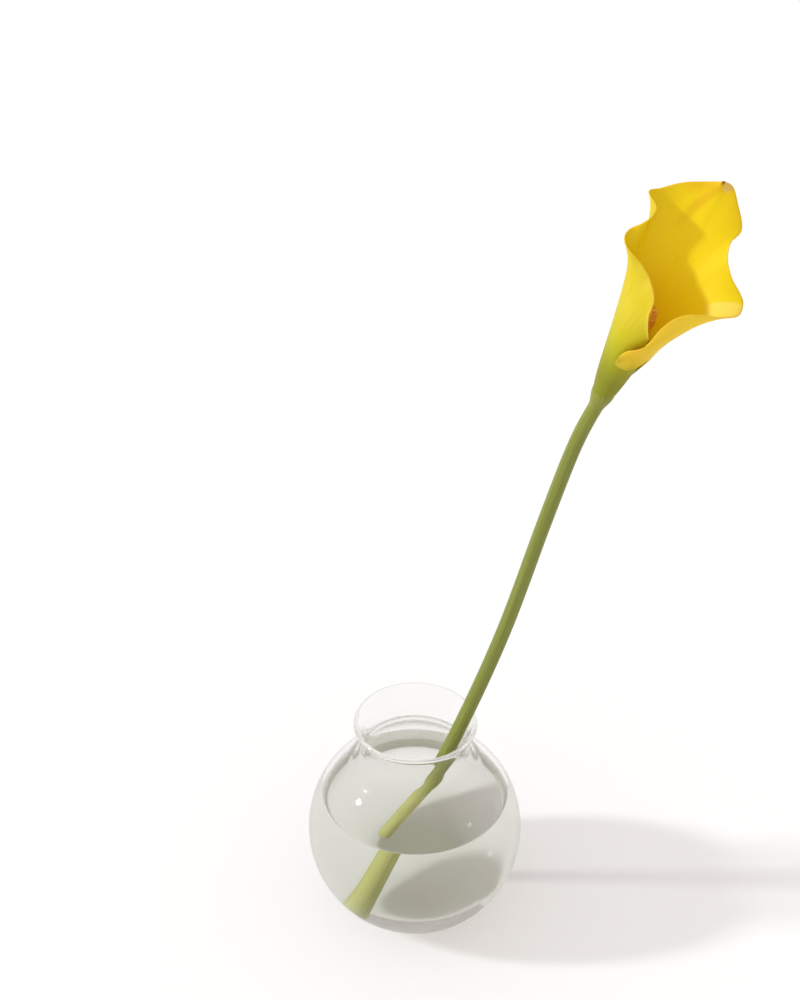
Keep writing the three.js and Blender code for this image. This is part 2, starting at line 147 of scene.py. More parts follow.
# Stations along the waved margin, from the outer lap's end round the tip to the inner
# lap's end: angle at the base, angle at the margin, margin radius and height,
# radius and height of the vein's last bend, height of the sheet's lower edge.
MARGIN = [
    (-6, -9, 14.4, 31.5, 13.9, 29.8, 28.5),
    (-2, -9, 15, 34.8, 14.3, 31.5, 27.5),
    (6, -1, 15.6, 40, 14.9, 35.5, 27.5),
    (15, 16, 16.2, 44.6, 15.4, 38.5, 27.8),
    (22, 28, 16.4, 49, 15.7, 41.5, 28.3),
    (30, 29, 16.5, 54.5, 16, 44.5, 29.5),
    (38, 33, 16.6, 61.5, 16.8, 50, 31),
    (47, 46, 17.2, 69.5, 19, 55.5, 33),
    (57, 63, 19.8, 74.2, 22, 60, 35),
    (68, 79, 25.8, 76.6, 23.4, 63, 36),
    (80, 90, 34.2, 78, 25, 63.5, 34.5),
    (91, 99, 40.7, 79.8, 23, 67, 31),
    (101, 108, 41.1, 83.3, 19, 73, 26),
    (110, 115, 38.9, 85.3, 17, 77, 20.5),
    (120, 126, 32.8, 90.1, 18, 78, 14.5),
    (130, 139.5, 30.3, 96.3, 19, 81, 9),
    (140, 149.6, 33.9, 101.5, 18.5, 86, 4.5),
    (151, 152.6, 40.5, 107.7, 17.5, 91, 1.3),
    (164, 166, 42.1, 116.7, 18, 94, 0),
    (176, 176, 43, 123.2, 19, 95, 0),
    (184, 184, 41, 123.5, 20.5, 95, 0),
    (195, 195, 42.5, 118.6, 19.5, 92, 0),
    (207, 208, 43.3, 113.7, 21, 88, 0),
    (219, 222, 43, 108, 26, 82, 0),
    (229, 232.5, 42.2, 105.8, 35, 77, 0),
    (237, 234, 32.1, 104, 36, 73, 0),
    (243, 236, 30.6, 98.6, 31, 70, 0),
    (249, 242.5, 31.6, 93.6, 22, 68, 0),
    (255, 250, 33.6, 89.9, 13, 67, 0),
    (262, 262, 32.4, 87.7, 12, 66, 0),
    (270, 269.5, 27.8, 85.2, 11.6, 64, 0),
    (281, 277, 17.6, 82.5, 11.6, 62, 0),
    (296, 300, 12, 80.2, 12.6, 58, 0),
    (314, 334, 12, 77.8, 16.5, 57, 0),
    (334, 353, 13.8, 73.5, 15.8, 54, 0),
    (352, 360, 15.2, 64.5, 14.2, 48, 0),
    (374, 382, 14, 53, 12.4, 38, 0),
    (396, 398, 12.2, 48.5, 10.6, 34, 0),
    (422, 423, 11, 45.5, 9, 31, 0),
    (450, 451, 10, 40, 7.8, 27, 0),
    (480, 480, 8.2, 29, 6.7, 18, 0),
    (508, 508, 6.4, 14, 5.7, 8, 0),
]

SPADIX_LENGTH = 62
SPADIX_FOOT_RADIUS = 3.4
SPADIX_RADIUS = 4.4
SPADIX_SWELL = 8            # height over which the foot widens
SPADIX_TIP = 12             # height of the rounded end
SPADIX_SIDES = 32
SPADIX_RINGS = 60
CORE_DEPTH = 0.3            # the core lies this far under the florets' seats
FLORET_COUNT = 1150
FLORET_RADIUS = 0.78
FLORET_CUT = 0.25           # shares of that radius: cut off below,
FLORET_CAP = 0.12           # height of the top that is pressed in,
FLORET_RIM = 0.16           # and the rim left round it
FLORET_SINK = 0.2           # depth of its seat
FLORET_SIZES = (0.9, 1.12)
STEEPEST_SEAT = -6          # the florets at the tip don't turn up more than this
SLOPE_STEP = 0.2
OVARY_HEIGHT = 17           # below this the florets are round ovaries
GOLDEN_ANGLE = math.pi * (3 - math.sqrt(5))

# ---- camera, light and floor, in metres ------------------------------------------------------

CAMERA_PLACE = (-0.00972, -0.80716, 0.84113)
CAMERA_TILT = math.radians(57)
CAMERA_LENS = 60
KEY_DIRECTION = Vector((-0.866, -0.03, 0.5))
KEY_STRENGTH = 2.05
KEY_SOFTNESS = math.radians(5)
KEY_COLOUR = (0.92, 1.0, 1.0)
ROOM_BRIGHT_SIDE = Vector((-0.35, -0.35, 0))
CLEAR_DEPTH = 4.5           # bounces after which a ray counts as caught in the glass
END_DEPTH = 5.5             # clear layers that it passes after that
FLOOR_SIZE = 14
FLOOR_DROP = 0.0004         # hair's breadth of air under the glass foot


# ---- shader maths ----------------------------------------------------------------------------

class Value:
    """A node's output. Sums, differences, products and quotients of values add Math nodes."""

    def __init__(self, finish, socket):
        self.finish = finish
        self.socket = socket

    def __add__(self, other):
        return self.finish.maths("ADD", self, other)

    def __sub__(self, other):
        return self.finish.maths("SUBTRACT", self, other)

    def __rsub__(self, other):
        return self.finish.maths("SUBTRACT", other, self)

    def __mul__(self, other):
        return self.finish.maths("MULTIPLY", self, other)

    def __truediv__(self, other):
        return self.finish.maths("DIVIDE", self, other)

    def __rtruediv__(self, other):
        return self.finish.maths("DIVIDE", other, self)

    __radd__ = __add__
    __rmul__ = __mul__


class Finish:
    """One material and the nodes in it."""

    def __init__(self, name, **settings):
        self.material = bpy.data.materials.new(name)
        self.material.use_nodes = True
        self.tree = self.material.node_tree
        self.shader = self.tree.nodes["Principled BSDF"]
        self.output = self.tree.nodes["Material Output"]
        for socket, value in settings.items():
            self.shader.inputs[socket.replace("_", " ")].default_value = value

    def node(self, kind, settings, inputs, output=0):
        node = self.tree.nodes.new(kind)
        for name, value in settings.items():
            setattr(node, name, value)
        for name, value in inputs.items():
            self.feed(node.inputs[name], value)
        return Value(self, node.outputs[output])

    def feed(self, socket, value):
        if isinstance(value, Value):
            self.tree.links.new(value.socket, socket)
        else:
            socket.default_value = value

    def set(self, socket, value):
        self.feed(self.shader.inputs[socket], value)

    def maths(self, operation, *values):
        return self.node("ShaderNodeMath", {"operation": operation}, dict(enumerate(values)))

    def place(self):
        return self.node("ShaderNodeTexCoord", {}, {}, "Object")

    def sheet_place(self):
        """Place along the spathe's margin and up its veins, both from 0 to 1."""
        uv = self.node("ShaderNodeUVMap", {"uv_map": "UVMap"}, {})
        across = self.node("ShaderNodeSeparateXYZ", {}, {0: uv}, "X")
        return across, self.node("ShaderNodeSeparateXYZ", {}, {0: uv}, "Y")

    def along(self, direction, start):
        """Distance in millimetres past a point along a direction."""
        reach = self.node("ShaderNodeVectorMath", {"operation": "DOT_PRODUCT"},
                          {0: self.place(), 1: direction}, "Value")
        return reach / MM - start.dot(direction)

    def vector(self, x, y, z):
        return self.node("ShaderNodeCombineXYZ", {}, {0: x, 1: y, 2: z})

    def noise(self, vector, scale, detail=2.0):
        return self.node("ShaderNodeTexNoise", {},
                         {"Vector": vector, "Scale": scale, "Detail": detail})

    def span(self, value, low, high, to_low=0.0, to_high=1.0):
        """Maps a value from one range to another, eased and held at its ends."""
        return self.node("ShaderNodeMapRange", {"interpolation_type": "SMOOTHSTEP"},
                         {"Value": value, "From Min": low, "From Max": high,
                          "To Min": to_low, "To Max": to_high})

    def beside(self, value, middle, near, far):
        """One close to a middle value, fading to nothing on both sides of it."""
        return self.span(self.maths("ABSOLUTE", value - middle), near, far, 1, 0)

    def mix(self, share, first, second):
        """Colour between two colours."""
        return self.node("ShaderNodeMix", {"data_type": "RGBA"},
                         {0: share, 6: first, 7: second}, 2)

    def bump(self, height, distance, strength=1.0):
        raised = {"Height": height, "Distance": distance, "Strength": strength}
        self.set("Normal", self.node("ShaderNodeBump", {}, raised))

    def let_rays_pass(self, diffuse, shadow, share=1.0):
        """Lets a share of the light bound for other surfaces pass straight through, tinted."""
        shown = Value(self, self.shader.outputs[0])
        for ray, tint in (("Is Diffuse Ray", diffuse), ("Is Shadow Ray", shadow)):
            passing = self.node("ShaderNodeLightPath", {}, {}, ray)
            gap = self.node("ShaderNodeBsdfTransparent", {}, {"Color": tint})
            shown = self.node("ShaderNodeMixShader", {}, {0: passing * share, 1: shown, 2: gap})
        self.feed(self.output.inputs["Surface"], shown)
        return shown

    def free_deep_rays(self, shown):
        """Rays caught in the glass go straight on, and end on a painted pale glow if that fails."""
        tinted = self.node("ShaderNodeBsdfTransparent", {}, {"Color": DEEP_TINT})
        pale_glow = self.node("ShaderNodeEmission", {}, {"Color": PAINTED_DEEP_GLOW})
        for depth, most, way_out in (("Ray Depth", CLEAR_DEPTH, tinted),
                                     ("Transparent Depth", END_DEPTH, pale_glow)):
            deep = self.maths("GREATER_THAN", self.node("ShaderNodeLightPath", {}, {}, depth), most)
            shown = self.node("ShaderNodeMixShader", {}, {0: deep, 1: shown, 2: way_out})
        self.feed(self.output.inputs["Surface"], shown)

    def edge_share(self, start):
        """Rises from nothing to one where the surface turns away from the eye."""
        facing = self.node("ShaderNodeLayerWeight", {}, {"Blend": 0.5}, "Facing")
        return self.span(facing, start, 1.0)


def rgb(red, green, blue):
    return (red, green, blue, 1.0)


# ---- colours ---------------------------------------------------------------------------------

# tint of rays caught in the glass, and the painted pale glow that they end on
DEEP_TINT = rgb(0.9, 0.9, 0.875)
PAINTED_DEEP_GLOW = rgb(0.7, 0.7, 0.64)

STEM_FOOT_COLOUR = rgb(0.5, 0.52, 0.17)
STEM_COLOUR = rgb(0.165, 0.19, 0.025)
# the stalk's own olive, darkened with painted shade, for its top and the spathe's foot
STEM_TOP_SHADED_COLOUR = rgb(0.2, 0.21, 0.015)
STEM_SHADE = rgb(0.15, 0.18, 0.02)
PITH_DARK = rgb(0.55, 0.56, 0.3)
PITH_PALE = rgb(0.72, 0.7, 0.45)

PETAL_LIGHT = rgb(0.95, 0.58, 0.012)        # light that comes through the petal
PAINTED_THROAT_GLOW = rgb(1, 0.76, 0.01)             # painted glow in its throat, in place of light bounced inside it
# fainter painted glow towards the margin
PAINTED_MARGIN_GLOW = rgb(0.3, 0.12, 0)
LOW_LAP_COLOUR = rgb(0.66, 0.38, 0.01)
PETAL_GREEN = rgb(0.42, 0.4, 0.006)
# painted shade of the fold at the tip
FOLD_SHADE_COLOUR = rgb(0.6, 0.32, 0.003)
# painted highlight on the pale lower right corner
ROLLED_HIGHLIGHT_COLOUR = rgb(0.95, 0.76, 0.24)
PETAL_EDGE = rgb(0.75, 0.42, 0.015)
POINT_BROWN = rgb(0.2, 0.1, 0.02)
PAPERY_COLOUR = rgb(0.7, 0.46, 0.2)

FLORET_ORANGE = rgb(0.72, 0.24, 0.014)
FLORET_GOLD = rgb(0.97, 0.6, 0.04)
POLLEN = rgb(0.95, 0.68, 0.12)
OVARY_GREEN = rgb(0.6, 0.6, 0.08)

FLOOR_DIM = rgb(0.955, 0.953, 0.95)
FLOOR_PALE = rgb(0.965, 0.963, 0.96)
ROOM_DIM = rgb(0.57, 0.54, 0.54)
ROOM_BRIGHT = rgb(0.97, 0.92, 0.92)


# ---- finishes --------------------------------------------------------------------------------

def clear_finish(name, colour, edge, index, diffuse, shadow):
    """Glass or water, painted a little darker where it is seen along its surface, as a painted dark
    reflection.
    """
    finish = Finish(name, Roughness=0.0, Transmission_Weight=1.0, IOR=index)
    # painted dark reflection where the surface turns away from the eye
    finish.set("Base Color", finish.mix(finish.edge_share(0.65), colour, edge))
    finish.free_deep_rays(finish.let_rays_pass(diffuse, shadow))
    return finish.material


def glass_finish():
    return clear_finish("clear_glass", colour=rgb(0.965, 0.96, 0.955), edge=rgb(0.5, 0.5, 0.48),
                        index=1.2, diffuse=rgb(0.93, 0.92, 0.905), shadow=rgb(0.82, 0.815, 0.8))


def water_finish():
    return clear_finish("still_water", colour=rgb(0.975, 0.975, 0.965),
                        edge=rgb(0.85, 0.86, 0.83), index=1.333,
                        diffuse=rgb(0.95, 0.95, 0.94), shadow=rgb(0.92, 0.92, 0.91))


def stem_finish():
    """Pale lime under the water, olive above it and darker olive by the flower, where the darkening
    is painted shade, with fine lines along the stalk.
    """
    finish = Finish("calla_stem", Roughness=0.45, Specular_IOR_Level=0.25)
    stalk = finish.node("ShaderNodeAttribute", {"attribute_name": "stalk"}, {}, "Vector")
    height = finish.along(UP, Vector())
    fine, broad = (finish.noise(finish.node("ShaderNodeMapping", {},
                                            {"Vector": stalk, "Scale": scale}), 1.0)
                   for scale in ((16, 16, 5), (3, 3, 14)))
    colour = finish.mix(finish.span(height, 60, 118), STEM_FOOT_COLOUR, STEM_COLOUR)
    # darker towards the flower: painted shade over the olive
    colour = finish.mix(finish.span(height, 330, 390), colour, STEM_TOP_SHADED_COLOUR)
    colour = finish.mix(finish.span(fine, 0.35, 0.7, 0, 0.28), colour, STEM_FOOT_COLOUR)
    colour = finish.mix(finish.span(broad, 0.4, 0.75, 0, 0.3), colour, STEM_SHADE)
    finish.set("Base Color", colour)
    finish.bump(fine, 0.0003, 0.5)
    return finish.material


def cut_finish():
    """The cut end: pale wet pith."""
    finish = Finish("cut_end", Roughness=0.55)
    pores = finish.noise(finish.place(), 2600.0)
    finish.set("Base Color", finish.mix(pores, PITH_DARK, PITH_PALE))
    return finish.material


def sheet_colour(finish, outer_lap_colour, tip_side_colour, streak):
    """Colour of the spathe: yellow with fine veins, deeper on the low lap, green at its base, and
    on the outside painted lighter on the shaded outer lap and darker on the sunlit tip side.
    """
    across, up_vein = finish.sheet_place()
    station = across * (len(MARGIN) - 1)
    height = finish.along(flower_up, FLOWER_BASE)
    veins = finish.noise(finish.vector(across * 420, up_vein * 2.2, 0), 1.0, 3.0)
    blotches = finish.noise(finish.place(), 55.0)
    # on the outside the outer lap, which lies in shade, is painted lighter and the sunlit tip side
    # darker: painted light and shade over the yellow
    colour = finish.mix(finish.span(station, 11, 19), outer_lap_colour, tip_side_colour)
    colour = finish.mix(finish.span(blotches, 0.3, 0.7, 0, 0.16), colour, streak)
    colour = finish.mix(finish.span(veins, 0.45, 0.75, 0, 0.3), colour, streak)
    colour = finish.mix(finish.span(station, 5, 11, 0.45, 0), colour, LOW_LAP_COLOUR)
    reach = finish.span(across, 0.3, 0.62, 34, 66)
    green = finish.span((height + (veins - 0.5) * 20) / reach, 0.35, 1.1, 1, 0)
    colour = finish.mix(green * 0.85, colour, PETAL_GREEN)
    # olive towards the foot: the spathe's own green, darkened with painted shade
    olive_and_shade = finish.span(height + (veins - 0.5) * 14, 8, 44, 1, 0)
    colour = finish.mix(olive_and_shade * 0.9, colour, STEM_TOP_SHADED_COLOUR)
    finish.bump(veins, 0.0002, 0.35)
    return mark_sheet(finish, colour, station, up_vein, veins, blotches)


def mark_sheet(finish, colour, station, up_vein, veins, blotches):
    """Adds the painted shade of the soft fold at the tip, the painted highlight on the pale corner,
    the darker margin and the spots at the tip.
    """
    below = 1 - up_vein
    # painted shade along the soft fold from the tip, and at the top beside it
    fold_shade = finish.maths(
        "MAXIMUM", finish.beside(station - below * FOLD_SHADE_DRIFT, TIP_STATION, 0.1, 0.75),
        finish.beside(station, TIP_STATION + 1, 0.3, 1.3) * finish.span(up_vein, 0.92, 0.99))
    colour = finish.mix(fold_shade * finish.span(up_vein, 0.76, 0.9) * 0.5, colour, FOLD_SHADE_COLOUR)
    # painted highlight on the corner of the margin at the lower right
    rolled_highlight = finish.span(station - below * ROLLED_HIGHLIGHT_DRIFT, ROLLED_HIGHLIGHT_STATION - 0.3, ROLLED_HIGHLIGHT_STATION, 1, 0)
    rolled_highlight = rolled_highlight * finish.span(station, 9.5, 10.8) * finish.span(up_vein, 0.7, 0.8)
    colour = finish.mix(rolled_highlight * 0.33, colour, ROLLED_HIGHLIGHT_COLOUR)
    edge = finish.span(up_vein + (veins - 0.5) * 0.02, 0.965, 1.0)
    colour = finish.mix(edge * 0.3, colour, PETAL_EDGE)
    point = finish.beside(station, TIP_STATION, 0.05, 0.15) * finish.span(up_vein, 0.985, 0.998)
    colour = finish.mix(point, colour, POINT_BROWN)
    papery = finish.beside(station, PAPERY_STATION, 0.2, 0.5)
    papery = papery * finish.span(up_vein + (blotches - 0.5) * 0.04, 0.972, 0.99)
    return finish.mix(papery * 0.6, colour, PAPERY_COLOUR)


def sheet_finish(name, outer_lap_colour, tip_side_colour, streak, painted_glow):
    """A thin petal. Part of the light that falls on one face comes out of the other. The inside
    also has a painted glow, strongest in its throat.
    """
    finish = Finish(name, Roughness=0.55, Specular_IOR_Level=0.16, Emission_Strength=painted_glow)
    finish.set("Base Color", sheet_colour(finish, outer_lap_colour, tip_side_colour, streak))
    _, up_vein = finish.sheet_place()
    # painted glow: light painted into the throat, fading towards the margin
    painted_glow_colour = finish.mix(finish.span(up_vein, 0.4, 1.0), PAINTED_THROAT_GLOW, PAINTED_MARGIN_GLOW)
    finish.set("Emission Color", painted_glow_colour)
    finish.let_rays_pass(PETAL_LIGHT, PETAL_LIGHT, 0.32)
    return finish.material


def spadix_finish():
    """Orange-brown florets dusted with pollen, each a little different."""
    finish = Finish("florets", Roughness=0.8)
    tone = finish.node("ShaderNodeAttribute", {"attribute_name": "tone"}, {}, "Fac")
    height = finish.along(flower_up, FLOWER_BASE)
    grain = finish.noise(finish.place(), 2400.0)
    colour = finish.mix(tone, FLORET_ORANGE, FLORET_GOLD)
    colour = finish.mix(finish.span(grain, 0.45, 0.8, 0, 0.5), colour, POLLEN)
    green = finish.span(height, OVARY_HEIGHT - 2, OVARY_HEIGHT + 3, 0.85, 0)
    colour = finish.mix(green, colour, OVARY_GREEN)
    finish.set("Base Color", colour)
    finish.bump(grain, 0.0002, 0.6)
    return finish.material


def floor_finish():
    finish = Finish("studio_floor", Roughness=0.9, Specular_IOR_Level=0.1)
    cloud = finish.noise(finish.place(), 3.0)
    finish.set("Base Color", finish.mix(cloud, FLOOR_DIM, FLOOR_PALE))
    return finish.material


# ---- modelling helpers -----------------------------------------------------------------------

def deselect():
    bpy.ops.object.select_all(action="DESELECT")


def named(name):
    """Names the object just added."""
    piece = bpy.context.object
    piece.name = piece.data.name = name
    return piece


def pick(piece):
    """Selects one piece and nothing else."""
    deselect()
    piece.select_set(True)
    bpy.context.view_layer.objects.active = piece


def settle(piece):
    """Puts a piece's place into its mesh."""
    pick(piece)
    bpy.ops.object.transform_apply(location=True, rotation=True, scale=True)


def apply_modifier(piece, kind, **settings):
    pick(piece)
    bpy.ops.object.modifier_add(type=kind)
    modifier = piece.modifiers[-1]
    for name, value in settings.items():
        setattr(modifier, name, value)
    bpy.ops.object.modifier_apply(modifier=modifier.name)


def smooth(piece, degrees):
    pick(piece)
    bpy.ops.object.shade_smooth_by_angle(angle=math.radians(degrees))


def turn_selection(turn, centre):
    """Turns the selected faces about an axis through a point."""
    axis = turn.axis
    first = axis.orthogonal().normalized()
    square = Matrix((first, axis.cross(first), axis)).transposed()
    bpy.ops.transform.rotate(value=turn.angle, orient_axis="Z", orient_matrix=square,
                             orient_matrix_type="GLOBAL", center_override=centre)


def grown(name, rings, sides):
    """Round body drawn out ring by ring from a flat disc.

    A ring is its centre, direction and radius.
    """
    centre, along, radius = rings[0]
    deselect()
    bpy.ops.mesh.primitive_circle_add(vertices=sides, radius=radius, fill_type="NGON",
                                      location=centre,
                                      rotation=along.to_track_quat("Z", "Y").to_euler())
    piece = named(name)
    bpy.ops.object.mode_set(mode="EDIT")
    bpy.ops.mesh.select_all(action="SELECT")
    for (centre, along, radius), (to_centre, to_along, to_radius) in zip(rings, rings[1:]):
        bpy.ops.mesh.extrude_region_move(TRANSFORM_OT_translate={"value": to_centre - centre})
        turn = along.rotation_difference(to_along)
        if turn.angle > 1e-6:
            turn_selection(turn, to_centre)
        bpy.ops.transform.resize(value=[to_radius / radius] * 3, center_override=to_centre)
    bpy.ops.object.mode_set(mode="OBJECT")
    settle(piece)
    return piece


def turned(name, profile, sides):
    """Body of revolution from a profile of radius and height."""
    rings = [(Vector((0, 0, height)) * MM, UP, radius * MM) for radius, height in profile]
    return grown(name, rings, sides)


def bezier_point(a, b, c, d, t):
    """Point at a share t of the way along a Bezier curve."""
    s = 1 - t
    return a * s ** 3 + b * 3 * s * s * t + c * 3 * s * t * t + d * t ** 3


def bezier(start, bend_a, bend_b, end, steps):
    """Points along a Bezier curve, without its first one."""
    points = [Vector(p) for p in (start, bend_a, bend_b, end)]
    return [bezier_point(*points, (i + 1) / steps) for i in range(steps)]


def between(a, b, c, d, t):
    """Value at a share t of the way from b to c, on a smooth curve through all four."""
    return 0.5 * (2 * b + (c - a) * t + (2 * a - 5 * b + 4 * c - d) * t * t
                  + (3 * b - a - 3 * c + d) * t ** 3)


# ---- vase ------------------------------------------------------------------------------------

BOWL_CENTRE = math.sqrt(BOWL_RADIUS ** 2 - FOOT_RADIUS ** 2)


def bowl_height(radius, at):
    return BOWL_CENTRE + math.sqrt(radius ** 2 - at ** 2)


def bowl_arc(radius, from_height, to_height, steps):
    start = math.acos((BOWL_CENTRE - from_height) / radius)
    end = math.acos((BOWL_CENTRE - to_height) / radius)
    angles = [start + (end - start) * i / steps for i in range(steps + 1)]
    return [(radius * math.sin(a), BOWL_CENTRE - radius * math.cos(a)) for a in angles]


def outer_wall(lip_drop):
    """Outside of the bowl, shoulder, neck and lip, from the foot up."""
    shoulder_height = bowl_height(BOWL_RADIUS, SHOULDER_RADIUS)
    slope = SHOULDER_RADIUS / (shoulder_height - BOWL_CENTRE)
    top = VASE_HEIGHT - lip_drop
    return [
        *bowl_arc(BOWL_RADIUS, FOOT_EDGE, shoulder_height, 56),
        *bezier((SHOULDER_RADIUS, shoulder_height),
                (SHOULDER_RADIUS - SHOULDER_BEND, shoulder_height + SHOULDER_BEND / slope),
                (NECK_RADIUS, NECK_HEIGHT - 7), (NECK_RADIUS, NECK_HEIGHT), 14),
        *bezier((NECK_RADIUS, NECK_HEIGHT), (NECK_RADIUS, NECK_HEIGHT + 8),
                (LIP_RADIUS - 2, top - 5), (LIP_RADIUS, top), 14),
    ]


def drawn_in(wall, depth):
    """The same wall moved in by an even thickness."""
    ends = [wall[0], *wall, wall[-1]]
    inner = []
    for before, point, after in zip(ends, wall, ends[2:]):
        along = (Vector(after) - Vector(before)).normalized()
        inner.append((point[0] - along.y * depth, point[1] + along.x * depth))
    return inner


def inner_corner(start, bottom):
    """Rounded corner from the end of the inner wall in to the flat floor."""
    start = Vector(start)
    return bezier(start, start - Vector((1.4, 1.3)), (start.x - 4, bottom + 0.1),
                  (start.x - 7, bottom), 6)


def make_vase():
    lip_round = GLASS / 2
    outside = outer_wall(lip_round)
    inside = [point for point in drawn_in(outside, GLASS)
              if point[1] > FLOOR_THICKNESS + CORNER_HEIGHT]
    lip_centre = (Vector(outside[-1]) + Vector(inside[-1])) / 2
    across = Vector(outside[-1]) - lip_centre
    upward = Vector((-across.y, across.x))
    lip_arc = [lip_centre + across * math.cos(a) + upward * math.sin(a)
               for a in (math.pi * i / 12 for i in range(1, 12))]
    foot_flat = (FOOT_RADIUS - FOOT_ROUNDING, 0)
    foot_round = bezier(foot_flat, (FOOT_RADIUS - 0.6, 0), (FOOT_RADIUS, 0.2), outside[0], 4)
    inside.reverse()
    piece = turned("glass_vase",
                   [foot_flat, *foot_round[:-1], *outside, *lip_arc, *inside,
                    *inner_corner(inside[-1], FLOOR_THICKNESS), (POLE_RADIUS, FLOOR_THICKNESS)],
                   VASE_SIDES)
    piece.data.materials.append(glass_finish())
    smooth(piece, 40)
    return piece


def make_water():
    radius = BOWL_RADIUS - GLASS + WETTING
    bottom = FLOOR_THICKNESS - WETTING
    wall = bowl_arc(radius, FLOOR_THICKNESS + CORNER_HEIGHT, WATER_LEVEL + MENISCUS_RISE, 52)
    rim = wall[-1][0]
    meniscus = bezier(wall[-1], (rim - 0.5, WATER_LEVEL + 0.5), (rim - 2, WATER_LEVEL),
                      (rim - MENISCUS_WIDTH, WATER_LEVEL), 7)
    piece = turned("water_body",
                   [(POLE_RADIUS, bottom), *reversed(inner_corner(wall[0], bottom)), *wall,
                    *meniscus, (POLE_RADIUS, WATER_LEVEL)],
                   VASE_SIDES)
    piece.data.materials.append(water_finish())
    smooth(piece, 40)
    return piece


# ---- stem ------------------------------------------------------------------------------------

flower_up = Vector((math.sin(FLOWER_LEAN) * math.cos(FLOWER_HEADING),
                    math.sin(FLOWER_LEAN) * math.sin(FLOWER_HEADING),
                    math.cos(FLOWER_LEAN)))
flower_front = (FLOWER_FRONT - flower_up * FLOWER_FRONT.dot(flower_up)).normalized()
flower_side = flower_up.cross(flower_front)


def in_flower(point):
    """Turns a point of the flower's own frame, x to its side and z along its axis, to metres."""
    return (FLOWER_BASE + flower_side * point.x - flower_front * point.y + flower_up * point.z) * MM


def around_flower(angle, radius, height):
    return Vector((radius * math.sin(angle), -radius * math.cos(angle), height))


def route_points(per_leg):
    """Points along a smooth curve through the stem's route."""
    route = [Vector(p) for p in STEM_ROUTE]
    route = [route[0] * 2 - route[1], *route, route[-1] * 2 - route[-2]]
    points = []
    for leg in range(len(STEM_ROUTE) - 1):
        points += [between(*route[leg:leg + 4], step / per_leg) for step in range(per_leg)]
    return [*points, Vector(STEM_ROUTE[-1])]


def foot_radius(angle):
    """Radius of the middle of the spathe where it leaves the stem."""
    return SHEET_INNER_RADIUS + SHEET_SPIRAL * (SHEET_LAST_ANGLE - angle) / 360


MEAN_FOOT = foot_radius(270) + SHEET_THICKNESS / 2


def stem_rings():
    """Rings of the stem, with its worn cut edge, its taper, its flared end and the collar."""
    points = route_points(RINGS_PER_LEG)
    directions = [(b - a).normalized() for a, b in zip(points, points[1:])]
    directions.append(flower_up)
    length = sum((b - a).length for a, b in zip(points, points[1:]))
    rings = []
    gone = 0
    for i, point in enumerate(points):
        gone += (point - points[i - 1]).length if i else 0
        share = gone / length
        flare = max(0, 1 - (length - gone) / RECEPTACLE_LENGTH)
        shaft = STEM_RADIUS + (STEM_TOP_RADIUS - STEM_RADIUS) * share
        radius = shaft + (MEAN_FOOT - shaft) * flare * flare * (3 - 2 * flare)
        before = directions[max(i - 1, 0)]
        rings.append((point * MM, (before + directions[i]).normalized(), radius * MM))
    foot_centre, foot_along, foot = rings[0]
    inner_foot = (foot_centre, foot_along, foot - CUT_CHAMFER * MM)
    rings[0] = (foot_centre + foot_along * CUT_CHAMFER * MM, foot_along, foot)
    top_centre, top_along, top = rings[-1]
    return [inner_foot, *rings, (top_centre + top_along * COLLAR * MM, top_along, top)]


def mark_stalk(piece, rings):
    """Keeps each point's place round and along the stalk, for the lines that follow it."""
    stalk = piece.data.attributes.new("stalk", "FLOAT_VECTOR", "POINT")
    across = Vector((0, 1, 0))
    for vertex, value in zip(piece.data.vertices, stalk.data):
        nearest = min(range(len(rings)), key=lambda i: (rings[i][0] - vertex.co).length_squared)
        centre, along, _ = rings[nearest]
        out = vertex.co - centre
        right = across.cross(along).normalized()
        reach = max(out.length, MM)
        value.vector = (out.dot(right) / reach, out.dot(across) / reach, nearest / len(rings))


def fit_receptacle(piece):
    """Presses the stem's flared end to the outline of the spathe's foot."""
    for vertex in piece.data.vertices:
        local = vertex.co / MM - FLOWER_BASE
        height = local.dot(flower_up)
        if height < -RECEPTACLE_LENGTH:
            continue
        x, y = local.dot(flower_side), -local.dot(flower_front)
        angle = math.degrees(math.atan2(x, -y)) % 360
        if angle < FOOT_SEAM:
            angle += 360
        seam = min(1, (FOOT_SEAM + 360 - angle) / FOOT_SEAM_WIDTH)
        wanted = (foot_radius(angle) * seam + foot_radius(FOOT_SEAM) * (1 - seam)
                  + SHEET_THICKNESS / 2 + COLLAR_OVERLAP)
        share = max(0, 1 + height / RECEPTACLE_LENGTH) ** 2
        gain = 1 + (wanted / MEAN_FOOT - 1) * share
        centre = FLOWER_BASE + flower_up * height
        vertex.co = (centre + (vertex.co / MM - centre) * gain) * MM


def make_stem():
    rings = stem_rings()
    piece = grown("calla_stalk", rings, STEM_SIDES)
    mark_stalk(piece, rings)
    fit_receptacle(piece)
    piece.data.materials.append(stem_finish())
    piece.data.materials.append(cut_finish())
    foot_centre, foot_along, _ = rings[0]
    for face in piece.data.polygons:
        if face.normal.dot(foot_along) < -0.9 and (face.center - foot_centre).length < 2 * MM:
            face.material_index = 1     # the cut end
    smooth(piece, 50)
    return piece


# ---- spathe ----------------------------------------------------------------------------------

def station_values(position):
    """Smooth values between the stations of the margin."""
    last = len(MARGIN) - 1
    i = min(int(position), last - 1)
    t = position - i
    rows = zip(MARGIN[max(i - 1, 0)], MARGIN[i], MARGIN[i + 1], MARGIN[min(i + 2, last)])
    return [between(*four, t) for four in rows]


def calm_values(position, reach):
    """Values at a position, averaged over the stations within reach."""
    held = min(reach, position, len(MARGIN) - 1 - position)
    rows = [[value * share for value in station_values(position + step * held)]
            for step, share in AVERAGE]
    return [sum(values) for values in zip(*rows)]


